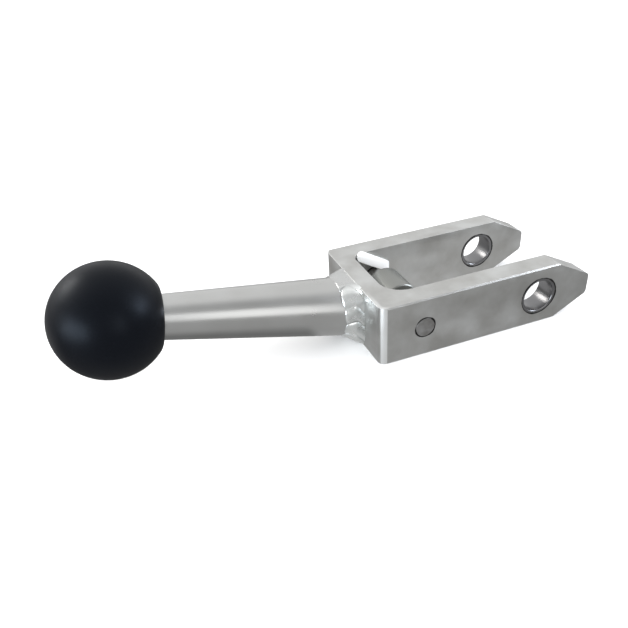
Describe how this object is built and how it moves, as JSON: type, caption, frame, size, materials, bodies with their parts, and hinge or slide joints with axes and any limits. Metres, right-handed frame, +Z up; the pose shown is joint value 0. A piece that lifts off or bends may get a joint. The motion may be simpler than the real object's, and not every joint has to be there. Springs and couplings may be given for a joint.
{
  "type": "forked hand lever",
  "caption": "Stainless forked hand lever with bushed pivot holes, a free roller on a cross pin, a welded tapered bar and a black ball knob.",
  "frame": {"origin": "the middle of the pivot bore's axis, halfway between the two arms", "axes": "+X towards the tips of the arms, +Y along the pivot bore to the far arm, +Z up"},
  "size_m": [0.2466, 0.064, 0.0629],
  "materials": {
    "fork_steel": "satin, brushed along the arms",
    "bush_steel": "ground and polished",
    "pin_steel": "satin",
    "keeper_nylon": "white, smooth",
    "roller_steel": "smooth turned",
    "bearing_bronze": "plain bearing, satin",
    "bar_steel": "satin, brushed along the bar",
    "weld_metal": "bright rippled weld",
    "knob_plastic": "black, satin",
    "insert_brass": "turned"
  },
  "bodies": {
    "lever": {"fork": "fork_steel", "near_bush": "bush_steel", "far_bush": "bush_steel", "cross_pin": "pin_steel", "keeper_strip": "keeper_nylon", "lever_bar": "bar_steel", "weld_bead": "weld_metal", "knob": "knob_plastic", "knob_insert": "insert_brass"},
    "roller": {"roller": "roller_steel", "roller_bush": "bearing_bronze"}
  },
  "joints": [
    {"name": "roller_spin", "type": "hinge", "parent": "lever", "child": "roller", "pos_m": [-0.06125, 0, 0], "axis": [0, 1, 0], "continuous": true}
  ]
}
